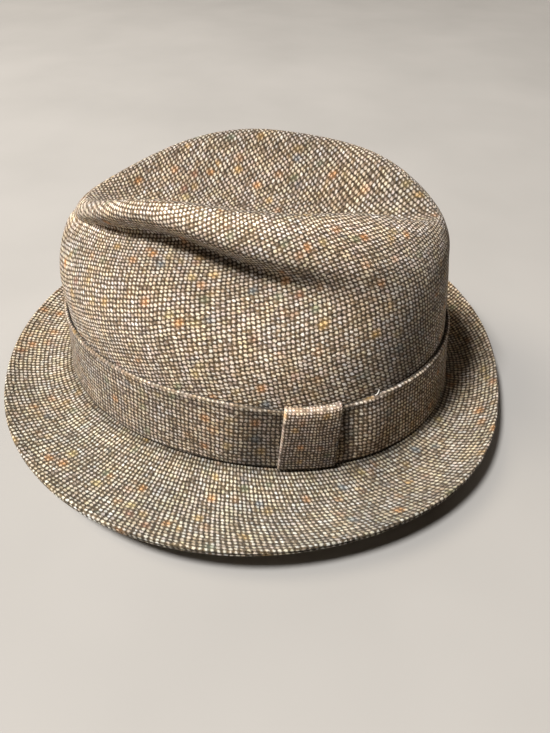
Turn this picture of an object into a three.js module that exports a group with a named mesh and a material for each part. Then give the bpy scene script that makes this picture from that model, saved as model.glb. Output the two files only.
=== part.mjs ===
// A soft tweed hat with a dented crown, a short curled brim, a self-fabric band and a band loop.
// Millimetres, Z up. The hat stands on Z = 0. Its front is -Y and the wearer's left is +X.

import * as THREE from 'three';

// Thicknesses and gaps
const CROWN_CLOTH = 1.8;
const BRIM_THICKNESS = 3.0;
const BAND_CLOTH = 1.5;
const LOOP_CLOTH = 1.8;
const GAP = 0.3;

// The head line sits this far behind the middle of the brim's length
const HEAD_CENTRE_Y = 1.6;
// Roundness of the head's oval: 2 is an ellipse, more is squarer
const OVAL_POWER = 2.1;

// Crown: closed rows from the lower edge, over the ridge, down into the dent.
// What a row's ends add is how far they draw out past its oval
const CROWN_ROWS = [
  { halfWidth: 87, front: 103, back: 103, sideZ: 0.4, frontZ: 0.4, backZ: 0.4, frontAdd: 0, backAdd: 0 },
  { halfWidth: 84.2, front: 100.6, back: 100, sideZ: 18, frontZ: 18, backZ: 18, frontAdd: 0, backAdd: 0 },
  { halfWidth: 81.6, front: 99.6, back: 97, sideZ: 36, frontZ: 36, backZ: 36, frontAdd: 0, backAdd: 0 },
  { halfWidth: 78.5, front: 101, back: 93.7, sideZ: 60, frontZ: 54.5, backZ: 58, frontAdd: 0, backAdd: 0 },
  { halfWidth: 71.5, front: 97.4, back: 91, sideZ: 83, frontZ: 70.5, backZ: 72.5, frontAdd: 0, backAdd: 0 },
  { halfWidth: 57.5, front: 93, back: 82.5, sideZ: 94.5, frontZ: 76.5, backZ: 84, frontAdd: 0, backAdd: 6 },
  { halfWidth: 46, front: 83.5, back: 65, sideZ: 105.5, frontZ: 81, backZ: 93.5, frontAdd: 4.5, backAdd: 17 },
  { halfWidth: 32.5, front: 71.5, back: 54, sideZ: 97.5, frontZ: 78, backZ: 91, frontAdd: 4.5, backAdd: 16 },
  { halfWidth: 16, front: 58, back: 43, sideZ: 85, frontZ: 75, backZ: 87, frontAdd: 3, backAdd: 12 },
  { halfWidth: 0, front: 48, back: 36, sideZ: 80, frontZ: 73, backZ: 83.5, frontAdd: 2, backAdd: 8 },
];
// How late a row's height turns from the side's to the front's or the back's
const FRONT_FALL = 2.3;
const BACK_FALL = 9;
// How late a row's ends draw out past its oval
const ADD_POWER = 8;

// Side pinch: a crease along each side of the crown, which runs back and down from its front.
// One row for every step along the hat: the crown's row that it follows, its depth,
// and how many of the crown's rows it takes to fade above and below
const PINCH_FROM_Y = -100;
const PINCH_STEP_Y = 20;
const PINCH_PATH = [
  { row: 4.5, inward: 0.0, above: 0.5, below: 0.9 },
  { row: 4.6, inward: 8.0, above: 0.45, below: 0.9 },
  { row: 4.72, inward: 14.0, above: 0.4, below: 1.0 },
  { row: 4.8, inward: 18.0, above: 0.4, below: 1.05 },
  { row: 4.72, inward: 20.0, above: 0.4, below: 1.05 },
  { row: 4.5, inward: 20.0, above: 0.42, below: 1.05 },
  { row: 4.28, inward: 18.0, above: 0.46, below: 1.05 },
  { row: 4.04, inward: 13.0, above: 0.52, below: 1.0 },
  { row: 3.8, inward: 6.5, above: 0.62, below: 1.0 },
  { row: 3.65, inward: 1.5, above: 0.75, below: 1.0 },
  { row: 3.6, inward: 0.0, above: 0.75, below: 1.0 },
];
// Part of the depth by which the crease also goes down
const PINCH_DROP = 0.35;
// The pinch fades out this near to the middle line
const PINCH_CENTRE_FADE = 25;

// Brim: its outer edge every 30 degrees, counted from the wearer's left towards the back
const BRIM_EDGE_STEP = 30;
const BRIM_EDGE = [
  { reach: 138.2, height: 14.5 },
  { reach: 137.2, height: 14.5 },
  { reach: 136.4, height: 14.0 },
  { reach: 129.4, height: 12.0 },
  { reach: 130.5, height: 11.5 },
  { reach: 135.0, height: 12.5 },
  { reach: 138.0, height: 14.0 },
  { reach: 136.5, height: 12.5 },
  { reach: 133.0, height: 10.0 },
  { reach: 132.6, height: 8.0 },
  { reach: 132.6, height: 10.0 },
  { reach: 136.2, height: 13.0 },
];
// Brim section: a small rise at the head, a flat that rests on the table, then the curl
const BRIM_HEAD_RISE = 1.2;
const BRIM_FLAT_FROM = 0.2;
const BRIM_FLAT_TO = 0.36;
const BRIM_CURL_POWER = 1.5;
const BRIM_NOSE = 1.0;

// Band: its top edge dips where the loop draws it in
const BAND_FROM_Z = 4.6;
const BAND_TO_Z = 38.3;
const BAND_DIP = 3.3;
const BAND_DIP_ANGLE = 28;
const BAND_DIP_WIDTH = 15;
const BAND_ROUNDING = 0.4;

// Loop: a short strip over the band, which leans a little towards the front at its foot
const LOOP_FROM_ANGLE = 21;
const LOOP_TO_ANGLE = 36;
const LOOP_LEAN = 1.6;
const LOOP_FROM_Z = 4.8;
const LOOP_HOOK_DEPTH = 1.7;
const LOOP_BULGE = 0.6;

// Mesh counts
const AROUND = 60;
// Steps between one row of the crown's table and the next
const CROWN_STEPS = [2, 2, 3, 5, 6, 5, 4, 3, 2];
const BRIM_CURL_STEPS = 6;
const BAND_STEPS = 4;
const LOOP_STEPS = 10;
const NORMAL_STEP = 0.01;
const HEIGHT_SEARCH_STEPS = 30;
const HEIGHT_SEARCH_LAST_ROW = 3;

// Looks
const TWEED = { color: 0x8f8068, roughness: 0.95, metalness: 0 };
const TWEED_BAND = { color: 0x857660, roughness: 0.95, metalness: 0 };
const TWEED_LOOP = { color: 0x7d6f5a, roughness: 0.95, metalness: 0 };

const TURN = 2 * Math.PI;
const DEGREE = Math.PI / 180;

function clamp(value, low, high) {
  return Math.min(high, Math.max(low, value));
}

// A smooth curve through four neighbouring values, at t between the middle two
function smoothBetween(before, start, end, after, t) {
  const slopeTerm = (end - before) * t;
  const squareTerm = (2 * before - 5 * start + 4 * end - after) * t * t;
  const cubeTerm = (3 * start - before - 3 * end + after) * t * t * t;
  return 0.5 * (2 * start + slopeTerm + squareTerm + cubeTerm);
}

// One column of the crown's table at any place between its rows.
// Past the dent's floor the rows come back mirrored, so the floor is smooth.
function crownValue(name, row) {
  const last = CROWN_ROWS.length - 1;
  const i = clamp(Math.floor(row), 0, last - 1);
  const pick = (k) => {
    if (k > last) {
      const mirrored = CROWN_ROWS[2 * last - k][name];
      return name === 'halfWidth' ? -mirrored : mirrored;
    }
    return CROWN_ROWS[Math.max(0, k)][name];
  };
  return smoothBetween(pick(i - 1), pick(i), pick(i + 1), pick(i + 2), row - i);
}

function brimEdgeValue(name, angle) {
  const count = BRIM_EDGE.length;
  const place = angle / DEGREE / BRIM_EDGE_STEP + count;
  const i = Math.floor(place);
  const pick = (k) => BRIM_EDGE[(k + count) % count][name];
  return smoothBetween(pick(i - 1), pick(i), pick(i + 1), pick(i + 2), place - i);
}

// One column of the pinch's table at a place along the hat, held at its ends
function pinchValue(name, y) {
  const last = PINCH_PATH.length - 1;
  const place = clamp((y - PINCH_FROM_Y) / PINCH_STEP_Y, 0, last);
  const i = Math.min(Math.floor(place), last - 1);
  const pick = (k) => PINCH_PATH[clamp(k, 0, last)][name];
  return smoothBetween(pick(i - 1), pick(i), pick(i + 1), pick(i + 2), place - i);
}

// Signed power, which turns a circle's sine and cosine into the oval's
function ovalPart(value) {
  return Math.sign(value) * Math.abs(value) ** (2 / OVAL_POWER);
}

// Outer face of the crown at an angle and a row of the table, before any offset
function crownPoint(angle, row) {
  const across = ovalPart(Math.cos(angle));
  const along = ovalPart(Math.sin(angle));
  const atFront = along < 0;
  const oval = crownValue(atFront ? 'front' : 'back', row);
  const added = crownValue(atFront ? 'frontAdd' : 'backAdd', row);
  const sideZ = crownValue('sideZ', row);
  const endZ = crownValue(atFront ? 'frontZ' : 'backZ', row);
  const fall = Math.abs(along) ** (atFront ? FRONT_FALL : BACK_FALL);
  let x = crownValue('halfWidth', row) * across;
  const y = (oval + added * Math.abs(along) ** ADD_POWER) * along;
  let z = sideZ + (endZ - sideZ) * fall;
  const fromLine = row - pinchValue('row', y);
  const width = pinchValue(fromLine > 0 ? 'above' : 'below', y);
  const pinch = pinchValue('inward', y) * Math.exp(-((fromLine / width) ** 2));
  x -= Math.sign(across) * pinch * Math.min(1, Math.abs(x) / PINCH_CENTRE_FADE);
  z -= PINCH_DROP * pinch;
  return new THREE.Vector3(x, y + HEAD_CENTRE_Y, z);
}

// Outward direction of the crown's face
function crownNormal(angle, row) {
  const last = CROWN_ROWS.length - 1;
  const low = Math.max(0, row - NORMAL_STEP);
  const high = Math.min(last, row + NORMAL_STEP);
  const around = crownPoint(angle + NORMAL_STEP, Math.min(row, last - NORMAL_STEP));
  around.sub(crownPoint(angle - NORMAL_STEP, Math.min(row, last - NORMAL_STEP)));
  const up = crownPoint(angle, high).sub(crownPoint(angle, low));
  const normal = around.cross(up).normalize();
  if (row === last) {
    normal.setX(0);
    normal.normalize();
  }
  return normal;
}

function crownOffset(angle, row, distance) {
  return crownPoint(angle, row).addScaledVector(crownNormal(angle, row), distance);
}

// The crown table's row at a height on the straight lower wall
function rowAtHeight(z) {
  let low = 0;
  let high = HEIGHT_SEARCH_LAST_ROW;
  for (let i = 0; i < HEIGHT_SEARCH_STEPS; i += 1) {
    const middle = (low + high) / 2;
    if (crownValue('sideZ', middle) < z) {
      low = middle;
    } else {
      high = middle;
    }
  }
  return (low + high) / 2;
}

// Collects points and faces of one solid
class Solid {
  constructor() {
    this.points = [];
    this.faces = [];
  }

  point(position) {
    this.points.push(position.x, position.y, position.z);
    return this.points.length / 3 - 1;
  }

  triangle(a, b, c) {
    if (a !== b && b !== c && c !== a) {
      this.faces.push(a, b, c);
    }
  }

  // Two triangles between neighbouring points of two rows, split on the shorter diagonal
  quad(a, b, c, d) {
    if (this.distance(a, c) <= this.distance(b, d)) {
      this.triangle(a, b, c);
      this.triangle(a, c, d);
    } else {
      this.triangle(a, b, d);
      this.triangle(b, c, d);
    }
  }

  distance(a, b) {
    const p = this.points;
    return Math.hypot(p[3 * a] - p[3 * b], p[3 * a + 1] - p[3 * b + 1], p[3 * a + 2] - p[3 * b + 2]);
  }

  // A skin between closed rows, each as long as the next
  bridge(rows) {
    for (let i = 1; i < rows.length; i += 1) {
      const lower = rows[i - 1];
      const upper = rows[i];
      for (let j = 0; j < lower.length; j += 1) {
        const k = (j + 1) % lower.length;
        this.quad(lower[j], lower[k], upper[k], upper[j]);
      }
    }
  }

  mesh(name, look) {
    const geometry = new THREE.BufferGeometry();
    geometry.setAttribute('position', new THREE.Float32BufferAttribute(this.points, 3));
    geometry.setIndex(this.faces);
    geometry.computeVertexNormals();
    const mesh = new THREE.Mesh(geometry, new THREE.MeshStandardMaterial(look));
    mesh.name = name;
    return mesh;
  }
}

// The crown table's rows, with the steps between them
function crownSteps() {
  const steps = [0];
  CROWN_STEPS.forEach((count, row) => {
    for (let i = 1; i <= count; i += 1) {
      steps.push(row + i / count);
    }
  });
  return steps;
}

// Rows of one face of the crown; the last closes on the line at the dent's floor
function crownFace(solid, depth) {
  const last = CROWN_ROWS.length - 1;
  return crownSteps().map((row) => {
    const ring = [];
    for (let j = 0; j < AROUND; j += 1) {
      const mirrored = (AROUND / 2 - j + AROUND) % AROUND;
      if (row === last && ring[mirrored] !== undefined) {
        ring.push(ring[mirrored]);
      } else {
        ring.push(solid.point(crownOffset((j / AROUND) * TURN, row, -depth)));
      }
    }
    return ring;
  });
}

function makeCrown() {
  const solid = new Solid();
  const outer = crownFace(solid, 0);
  const inner = crownFace(solid, CROWN_CLOTH);
  solid.bridge([...inner.reverse(), ...outer]);
  return solid.mesh('crown', TWEED);
}

// Radius of the hole in the brim that the crown stands in
function brimHoleRadius(angle) {
  const halfWidth = CROWN_ROWS[0].halfWidth + GAP;
  const halfLength = CROWN_ROWS[0].front + GAP;
  const across = Math.abs(Math.cos(angle) / halfWidth) ** OVAL_POWER;
  const along = Math.abs(Math.sin(angle) / halfLength) ** OVAL_POWER;
  return (across + along) ** (-1 / OVAL_POWER);
}

// Height of the brim's upper face, from the head (0) to the edge (1)
function brimTop(angle, part) {
  if (part < BRIM_FLAT_FROM) {
    return BRIM_THICKNESS + BRIM_HEAD_RISE * (1 - part / BRIM_FLAT_FROM) ** 2;
  }
  if (part <= BRIM_FLAT_TO) {
    return BRIM_THICKNESS;
  }
  const curl = ((part - BRIM_FLAT_TO) / (1 - BRIM_FLAT_TO)) ** BRIM_CURL_POWER;
  return BRIM_THICKNESS + (brimEdgeValue('height', angle) - BRIM_THICKNESS) * curl;
}

function makeBrim() {
  const solid = new Solid();
  const ring = (pointAt) => {
    const row = [];
    for (let j = 0; j < AROUND; j += 1) {
      const angle = (j / AROUND) * TURN;
      const { radius, z } = pointAt(angle);
      const x = radius * Math.cos(angle);
      const y = radius * Math.sin(angle) + HEAD_CENTRE_Y;
      row.push(solid.point(new THREE.Vector3(x, y, z)));
    }
    return row;
  };
  const radiusAt = (angle, part) => {
    const hole = brimHoleRadius(angle);
    return hole + (brimEdgeValue('reach', angle) - BRIM_NOSE - hole) * part;
  };
  const parts = [0, BRIM_FLAT_FROM / 2, BRIM_FLAT_FROM, BRIM_FLAT_TO];
  for (let i = 1; i <= BRIM_CURL_STEPS; i += 1) {
    parts.push(BRIM_FLAT_TO + ((1 - BRIM_FLAT_TO) * i) / BRIM_CURL_STEPS);
  }
  const under = parts.map((part) => ring((angle) => ({
    radius: radiusAt(angle, part),
    z: brimTop(angle, part) - BRIM_THICKNESS,
  })));
  const nose = [1 / 3, 2 / 3].map((lift) => ring((angle) => ({
    radius: radiusAt(angle, 1) + BRIM_NOSE,
    z: brimTop(angle, 1) - BRIM_THICKNESS * (1 - lift),
  })));
  const top = parts.map((part) => ring((angle) => ({
    radius: radiusAt(angle, part),
    z: brimTop(angle, part),
  })));
  solid.bridge([...under, ...nose, ...top.reverse(), under[0]]);
  return solid.mesh('brim', TWEED);
}

// Height of the band's top edge
function bandTop(angle) {
  const off = (angle / DEGREE - BAND_DIP_ANGLE) / BAND_DIP_WIDTH;
  return BAND_TO_Z - BAND_DIP * Math.exp(-(off ** 2));
}

function makeBand() {
  const solid = new Solid();
  // One closed row at a part of the band's height, moved in from its edges by a margin
  const ring = (part, margin, offset) => {
    const row = [];
    for (let j = 0; j < AROUND; j += 1) {
      const angle = (j / AROUND - 0.5) * TURN;
      const from = BAND_FROM_Z + margin;
      const to = bandTop(angle) - margin;
      row.push(solid.point(crownOffset(angle, rowAtHeight(from + (to - from) * part), offset)));
    }
    return row;
  };
  const inner = [];
  const outer = [];
  for (let i = 0; i <= BAND_STEPS; i += 1) {
    inner.push(ring(i / BAND_STEPS, 0, GAP));
    outer.push(ring(i / BAND_STEPS, BAND_ROUNDING, GAP + BAND_CLOTH));
  }
  solid.bridge([inner[0], ...outer, ...inner.reverse()]);
  return solid.mesh('hat_band', TWEED_BAND);
}

// Outline of the loop's section: distance out from the crown, and height over the band's top
function loopSection() {
  const inside = GAP + BAND_CLOTH + GAP;
  const outside = inside + LOOP_CLOTH;
  const hooked = outside - LOOP_HOOK_DEPTH - LOOP_CLOTH;
  const foot = LOOP_FROM_Z - BAND_TO_Z;
  const top = GAP + LOOP_CLOTH;
  const middle = (foot + top) / 2;
  return [
    [inside, foot],
    [outside - BAND_ROUNDING, foot],
    [outside, foot + BAND_ROUNDING],
    [outside + LOOP_BULGE, middle],
    [outside, top - 2 * BAND_ROUNDING],
    [outside - 2 * BAND_ROUNDING, top],
    [hooked, top],
    [hooked, GAP],
    [inside, GAP],
    [inside, middle],
  ];
}

// A point of the loop. Below the band's top its heights shrink with the band's dip
function loopPoint(share, out, overTop) {
  const fullHeight = BAND_TO_Z - LOOP_FROM_Z;
  const lean = (LOOP_LEAN * overTop) / fullHeight;
  const angle = (LOOP_FROM_ANGLE + (LOOP_TO_ANGLE - LOOP_FROM_ANGLE) * share + lean) * DEGREE;
  const top = bandTop(angle);
  const shrink = overTop > 0 ? 1 : (top - LOOP_FROM_Z) / fullHeight;
  return crownOffset(angle, rowAtHeight(top + overTop * shrink), out);
}

function makeLoop() {
  const solid = new Solid();
  const section = loopSection();
  const rows = [];
  for (let i = 0; i <= LOOP_STEPS; i += 1) {
    const share = 1 - i / LOOP_STEPS;
    rows.push(section.map(([out, overTop]) => solid.point(loopPoint(share, out, overTop))));
  }
  solid.bridge(rows);
  const outline = section.map(([out, overTop]) => new THREE.Vector2(out, overTop));
  for (const [a, b, c] of THREE.ShapeUtils.triangulateShape(outline, [])) {
    const first = rows[0];
    const end = rows[rows.length - 1];
    solid.triangle(first[c], first[b], first[a]);
    solid.triangle(end[a], end[b], end[c]);
  }
  return solid.mesh('band_loop', TWEED_LOOP);
}

const hat = new THREE.Group();
hat.name = 'tweed_fedora';
hat.add(makeCrown(), makeBrim(), makeBand(), makeLoop());

export default hat;
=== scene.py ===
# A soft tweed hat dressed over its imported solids, on a pale floor. Metres, Z up.
# The hat's front is -Y and the wearer's left, which carries the band loop, is +X.
import math
import bpy
import numpy as np
from mathutils import Matrix, Vector


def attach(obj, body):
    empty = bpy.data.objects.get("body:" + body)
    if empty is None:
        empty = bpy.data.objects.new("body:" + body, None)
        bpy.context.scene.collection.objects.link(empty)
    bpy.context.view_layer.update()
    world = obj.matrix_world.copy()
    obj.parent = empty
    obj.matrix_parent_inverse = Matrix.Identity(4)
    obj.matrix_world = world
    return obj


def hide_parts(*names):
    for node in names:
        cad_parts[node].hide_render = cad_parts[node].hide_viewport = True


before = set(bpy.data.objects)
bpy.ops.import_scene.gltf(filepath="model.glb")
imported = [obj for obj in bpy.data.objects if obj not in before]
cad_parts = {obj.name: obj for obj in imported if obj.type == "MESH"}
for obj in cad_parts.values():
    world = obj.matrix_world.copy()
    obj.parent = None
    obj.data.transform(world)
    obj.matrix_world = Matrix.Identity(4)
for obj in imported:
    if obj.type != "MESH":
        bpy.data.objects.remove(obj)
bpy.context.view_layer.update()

MM = 0.001

# Camera: where it stands, how it is turned, and its focal length for the taller side of the image
CAMERA_PLACE = (0.2343, 0.0787, 0.2052)
CAMERA_AZIMUTH = 105.89
CAMERA_ELEVATION = 41.77
CAMERA_ROLL = 1.47
CAMERA_CLIP = (0.01, 20.0)
IMAGE_HEIGHT = 733
FOCAL_PIXELS = 559.4
SENSOR_WIDTH = 36.0

# Lights: name, azimuth from the hat's front towards its left, elevation, width in metres, watts, colour
LIGHT_DISTANCE = 2.8
LIGHTS = (
    ("key", 41, 62, 0.6, 112.0, (1.0, 0.965, 0.92)),
    ("fill", 10, 48, 1.2, 41.5, (1.0, 0.87, 0.70)),
    ("far_side", 255, 20, 1.6, 12.0, (1.0, 0.92, 0.82)),
)
ROOM_COLOUR = (1.0, 0.76, 0.56, 1)
ROOM_STRENGTH = 0.06
# Floor: how far it reaches from the middle, and its speckle, which is scaled over its whole width
FLOOR_REACH = 3.0
FLOOR_SCALE = 40.0
FLOOR_SHADES = (
    (0.3, (0.36, 0.357, 0.353)),
    (0.7, (0.4, 0.396, 0.392)),
)

# Thicknesses and gaps, in millimetres as in the part's source
CROWN_CLOTH = 1.8
BRIM_THICKNESS = 3.0
BAND_CLOTH = 1.5
LOOP_CLOTH = 1.8
GAP = 0.3
HEAD_CENTRE_Y = 1.6
OVAL_POWER = 2.1

# Crown: closed rows from the lower edge, over the ridge, down into the dent
ROW_COLUMNS = (
    "half_width", "front", "back", "side_z", "front_z", "back_z", "front_add", "back_add",
)
CROWN_ROWS = (
    (87.0, 103.0, 103.0, 0.4, 0.4, 0.4, 0, 0),
    (84.2, 100.6, 100.0, 18, 18, 18, 0, 0),
    (81.6, 99.6, 97.0, 36, 36, 36, 0, 0),
    (78.5, 101.0, 93.7, 60, 54.5, 58, 0, 0),
    (71.5, 97.4, 91.0, 83, 70.5, 72.5, 0, 0),
    (57.5, 93.0, 82.5, 94.5, 76.5, 84, 0, 6),
    (46.0, 83.5, 65.0, 105.5, 81, 93.5, 4.5, 17),
    (32.5, 71.5, 54.0, 97.5, 78, 91, 4.5, 16),
    (16.0, 58.0, 43.0, 85, 75, 87, 3, 12),
    (0.0, 48.0, 36.0, 80, 73, 83.5, 2, 8),
)
RIDGE_ROW = 6
# How a row's height falls from its sides to its front and back ends
FRONT_FALL = 2.3
BACK_FALL = 9
# How late a row's ends draw out past its oval
ADD_POWER = 8

# Side pinch: a crease along each side, a row of the table every 20 mm from the front
PINCH_COLUMNS = ("row", "inward", "above", "below")
PINCH_FROM_Y = -100
PINCH_STEP_Y = 20
PINCH_PATH = (
    (4.5, 0.0, 0.5, 0.9),
    (4.6, 8.0, 0.45, 0.9),
    (4.72, 14.0, 0.4, 1.0),
    (4.8, 18.0, 0.4, 1.05),
    (4.72, 20.0, 0.4, 1.05),
    (4.5, 20.0, 0.42, 1.05),
    (4.28, 18.0, 0.46, 1.05),
    (4.04, 13.0, 0.52, 1.0),
    (3.8, 6.5, 0.62, 1.0),
    (3.65, 1.5, 0.75, 1.0),
    (3.6, 0.0, 0.75, 1.0),
)
PINCH_DROP = 0.35
PINCH_CENTRE_FADE = 25

# Brim: its outer edge every 30 degrees, counted from the wearer's left towards the back
BRIM_EDGE_STEP = 30
BRIM_EDGE_COLUMNS = ("reach", "height")
BRIM_EDGE = (
    (138.2, 14.5),
    (137.2, 14.5),
    (136.4, 14.0),
    (129.4, 12.0),
    (130.5, 11.5),
    (135.0, 12.5),
    (138.0, 14.0),
    (136.5, 12.5),
    (133.0, 10.0),
    (132.6, 8.0),
    (132.6, 10.0),
    (136.2, 13.0),
)
BRIM_HEAD_RISE = 1.2
BRIM_FLAT_FROM = 0.2
BRIM_FLAT_TO = 0.36
BRIM_CURL_POWER = 1.5
BRIM_NOSE = 1.0
# The edge's two layers part in a notch, and a stitched groove runs inside it. Painted shade darkens the notch
# and the groove
EDGE_NOTCH = 0.55
EDGE_NOTCH_WIDTH = 0.3
EDGE_NOTCH_SHADE = 0.5
GROOVE_FROM_EDGE = 3.4
GROOVE_WIDTH = 0.6
GROOVE_DEPTH = 0.4
GROOVE_SHADE = 0.3
# Painted shade: the corner between the brim and the band is darker
BRIM_CORNER_WIDTH = 4.5
BRIM_CORNER_SHADE = 0.5

# Band: its top edge dips where the loop draws it in
BAND_FROM_Z = 4.6
BAND_TO_Z = 38.3
BAND_DIP = 3.3
BAND_DIP_ANGLE = 28
BAND_DIP_WIDTH = 15
# The band's section up its outside: out from its face, height, share of the fold, tone. The tone is painted
# shade at the foot and in the gap between the fold and the crown, and a painted highlight on the fold
# Heights of the foot's rows are counted from the lower edge, and the fold's from the top edge
BAND_FOOT = (
    (-1.5, 0.0, 0, 0.3),
    (-0.3, 0.0, 0, 0.3),
    (0.0, 0.4, 0, 0.35),
    (0.0, 1.6, 0, 0.85),
)
BAND_FOLD = (
    (0.0, -2.8, 0, 0.95),
    (0.4, -1.9, 0, 0.95),
    (0.5, -1.3, 0, 1),
    (0.4, -0.7, 0.25, 1.3),
    (0.1, -0.2, 0.4, 1.3),
    (-0.3, 0.0, 0.15, 0.8),
    (-0.7, 0.0, 0, 0.4),
    (-1.3, -0.1, 0, 0.3),
    (-1.5, -1.0, 0, 0.5),
)
# The plain face goes from above the lower edge to below the top edge
BAND_FACE_FROM = 3
BAND_FACE_TO = -5.2
# The band's inside is darker with painted shade
BAND_INSIDE_PAINTED_SHADE = 0.5
# How far the fold stands out from the band's face, which the loop has to clear
BAND_FOLD_PROUD = 0.5
# The band puffs out on both sides of the loop: angle, width and height of each puff
BAND_PUFFS = (
    (9, 7, 1.3),
    (45, 6, 2.2),
)
PUFF_FULLNESS = 0.7

# Loop: a short strip over the band, which leans a little towards the front at its foot
LOOP_FROM_ANGLE = 21
LOOP_TO_ANGLE = 36
LOOP_LEAN = 1.6
LOOP_FROM_Z = 4.8
LOOP_INSIDE = GAP + BAND_CLOTH + BAND_FOLD_PROUD + GAP / 2
LOOP_OUTSIDE = LOOP_INSIDE + LOOP_CLOTH - BAND_FOLD_PROUD
LOOP_HOOK_DEPTH = 1.7
LOOP_HOOK_ROUNDING = 0.1
LOOP_BULGE = 0.6
LOOP_PUFF_SHARE = 0.6
# The loop's section up its outside: out from its face, height, share of the fold
# Heights of the foot's rows are counted from the lower edge, and the fold's from the top
LOOP_FOOT = (
    (-0.5, 0.1, 0),
    (0.0, 0.7, 0),
)
LOOP_FOLD = (
    (0.0, -1.4, 0.2),
    (-0.3, -0.8, 0.5),
    (-1.1, -0.15, 0.6),
    (-2.0, 0.0, 0.3),
)
# The bulged face between them
LOOP_FACE_FROM = 1.2
LOOP_FACE_TO = -2.4
# Its side edges are folded too: the fold's share of its width, how far it rounds, and its tone in front,
# lighter partly from pale yarn and partly as a painted highlight
LOOP_SIDE_FOLD = 0.05
LOOP_SIDE_ROUNDING = 0.7
LOOP_SIDE_YARN_AND_HIGHLIGHT = 0.7
LOOP_BACK_FOLD = 0.5
# Painted light and shade up the loop, darker low down and a painted highlight on its top fold: share of its
# height, tone
LOOP_PAINTED_LIGHT = (
    (0.0, 0.7),
    (0.5, 0.9),
    (0.85, 1.15),
    (0.94, 1.4),
    (0.97, 2.1),
    (1.02, 2.5),
)

# A loose end of thread above the band, behind the loop
THREAD_ANGLE = 45.8
THREAD_SWEEP = 2.0
THREAD_FROM_Z = 36.4
THREAD_RISE = 3.8
THREAD_DROOP = 0.8
THREAD_FROM_CROWN = 0.5
THREAD_STAND_OFF = 1.2
THREAD_RADIUS = 0.28
THREAD_TAPER = 0.6
THREAD_STEPS = 14
THREAD_SIDES = 8

# Weave: the distance between two light dots, and how the cloth lies on each piece
DOT_PITCH = 2.03
LOOP_DOT_PITCH = 1.5
CROWN_LEAN = 0.25
CROWN_ROW_TILT = 0.36
CROWN_TILT_AZIMUTH = 70
TIP_GRAIN = 134
TIP_SLOPE_STRETCH = 1.16
BRIM_COLUMNS_ROUND = 364
BRIM_SPIRAL = 10
# Turn of the long side of the dots, in whole turns from the weave's own direction
WALL_TURN = -0.125
TIP_TURN = 0.16
BRIM_TURN = 0.25
BAND_TURN = -0.125
# The cloth's slow wobble dies away over this angle beside the seam on the wearer's right
SEAM_EASE = 8

# Tone multiplies the cloth's colour. On the crown it is painted light and shade: a painted highlight on the
# shoulder, a lighter lower wall and painted shade in the crease. Up the crown's wall: row of the crown's
# table, tone
WALL_PAINTED_LIGHT = (
    (0.0, 1.1),
    (2.4, 1.26),
    (3.4, 1.24),
    (4.5, 0.72),
    (5.1, 1.12),
    (5.7, 1.75),
    (6.0, 1.1),
)
# The wall's painted light and shade come in across the hat's middle line and are weaker towards its ends
TONE_SIDE_REACH = 25
TONE_MIDDLE_Y = 15
TONE_END_REACH = 55
TONE_END_SHARE = 0.5
# Inside the ridge the cloth has one tone, darker as painted shade
TIP_PAINTED_SHADE = 0.76
# Painted shade in the crease: how much darker it is at its back and its front, where a negative value paints
# it lighter, and where along the hat each part comes and goes
CREASE_WIDTH = 0.3
CREASE_BACK_PAINTED_SHADE = 0.1
CREASE_BACK_COMES = (-60, 10)
CREASE_BACK_GOES = (60, 100)
CREASE_FRONT_PAINTED_SHADE = -0.7
CREASE_FRONT_GOES = (-60, 0)
# Painted shade round the hat, with painted light where a value is negative: middle angle, width and how much
# darker
BRIM_PAINTED_SHADES = (
    (47, 19, 0.3),
    (98, 15, 0.3),
)
BAND_PAINTED_SHADES = (
    (14.5, 6, 0.55),
    (20.5, 2, 0.3),
    (37.8, 1.5, 0.65),
    (60, 16, -0.1),
    (-45, 20, 0.15),
)
LOWER_WALL_PAINTED_SHADES = ((58, 17, 0.5),)
LOWER_WALL_ROWS = (2.6, 4.0)
# The band's pale fold, partly pale yarn and partly a painted highlight, loses this share of its tone between
# these angles
FOLD_FADE = 0.7
FOLD_FADE_ANGLES = (38, 60)

# Mesh counts
CROWN_AROUND = 360
CROWN_OUTER_STEPS = 16
CROWN_INNER_STEPS = 6
BRIM_AROUND = 360
BRIM_PARTS = 48
NOSE_STEPS = 12
BAND_AROUND = 360
BAND_FACE_STEPS = 14
LOOP_ACROSS = 36
LOOP_FACE_STEPS = 14
NORMAL_STEP = 0.01
HEIGHT_SEARCH_STEPS = 30
HEIGHT_SEARCH_LAST_ROW = 3

# Yarn colours, linear, each from a place in the range from 0 to 1
# Chance picks them for the light dots and the flecks, and slow noise for the dark yarn between
DOT_SHADES = (
    (0.0, (0.30, 0.24, 0.19)),
    (0.06, (0.52, 0.42, 0.33)),
    (0.14, (0.66, 0.53, 0.41)),
    (0.28, (0.76, 0.66, 0.54)),
    (0.42, (0.78, 0.65, 0.56)),
    (0.55, (0.80, 0.71, 0.58)),
    (0.68, (0.70, 0.66, 0.59)),
    (0.80, (0.80, 0.71, 0.53)),
    (0.90, (0.86, 0.79, 0.68)),
    (1.0, (0.92, 0.87, 0.79)),
)
GROUND_SHADES = (
    (0.25, (0.050, 0.036, 0.024)),
    (0.42, (0.105, 0.077, 0.048)),
    (0.58, (0.165, 0.120, 0.074)),
    (0.75, (0.23, 0.155, 0.09)),
)
PIT_SHADE_COLOUR = (0.022, 0.015, 0.010, 1)
FLECK_SHADES = (
    (0.0, (0.98, 0.46, 0.16)),
    (0.30, (0.95, 0.60, 0.22)),
    (0.52, (0.60, 0.30, 0.18)),
    (0.66, (0.92, 0.70, 0.32)),
    (0.78, (0.30, 0.36, 0.40)),
    (0.88, (0.42, 0.45, 0.28)),
)
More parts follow.
